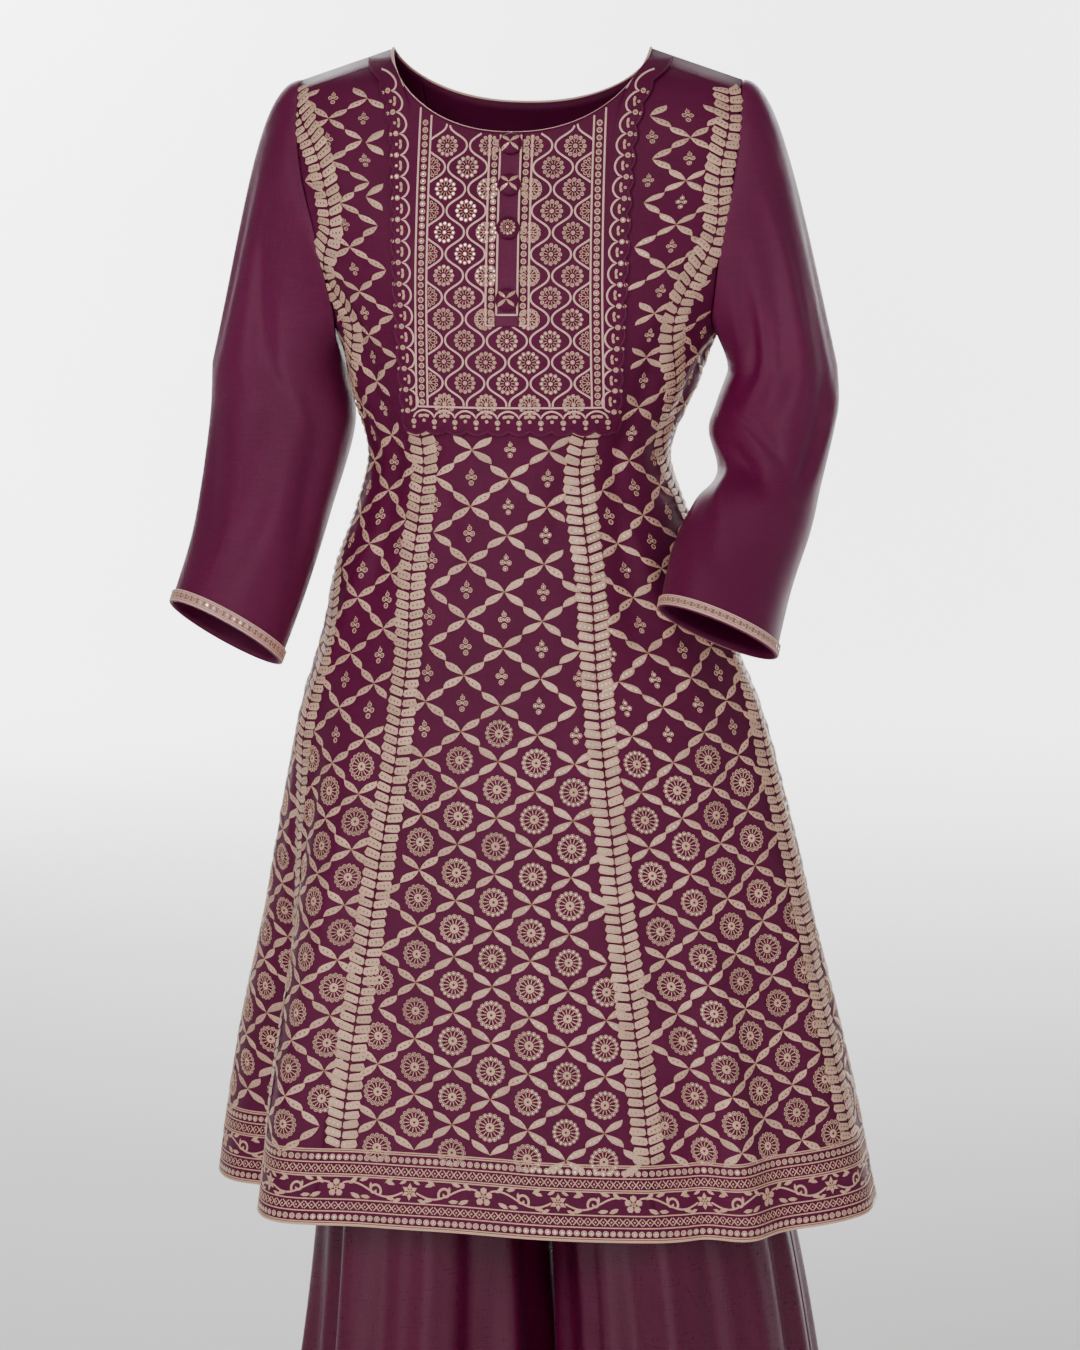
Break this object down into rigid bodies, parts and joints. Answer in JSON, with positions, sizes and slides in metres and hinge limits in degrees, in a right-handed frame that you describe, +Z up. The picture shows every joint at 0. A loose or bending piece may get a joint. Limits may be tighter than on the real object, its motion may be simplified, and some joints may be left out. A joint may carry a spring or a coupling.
{
  "type": "sharara suit",
  "caption": "Long-sleeved, panelled A-line kurta with an applied yoke, worn over wide sharara trousers.",
  "frame": {"origin": "midway between the two high shoulder points of the kurta, where the wearer's shoulders hold it", "axes": "+X to the viewer's right seen from the front, -Y the way the front faces, +Z up"},
  "size_m": [0.6135, 0.3605, 1.421],
  "materials": {
    "wine_embroidered": "satin",
    "wine_plain": "satin",
    "wine_satin": "satin",
    "rose_gold_trim": "satin"
  },
  "bodies": {
    "root": {"kurta_front_centre": "wine_embroidered", "kurta_front_left": "wine_embroidered", "kurta_front_right": "wine_embroidered", "kurta_back_centre": "wine_embroidered", "kurta_back_left": "wine_embroidered", "kurta_back_right": "wine_embroidered", "yoke": "wine_embroidered", "placket": "wine_plain", "button_1": "wine_embroidered", "button_2": "wine_embroidered", "button_3": "wine_embroidered", "button_4": "wine_embroidered", "sleeve_left": "wine_plain", "sleeve_right": "wine_plain", "cuff_trim_left": "rose_gold_trim", "cuff_trim_right": "rose_gold_trim", "sharara_front_left": "wine_satin", "sharara_front_right": "wine_satin", "sharara_back_left": "wine_satin", "sharara_back_right": "wine_satin", "sharara_waistband": "wine_satin"}
  },
  "joints": []
}
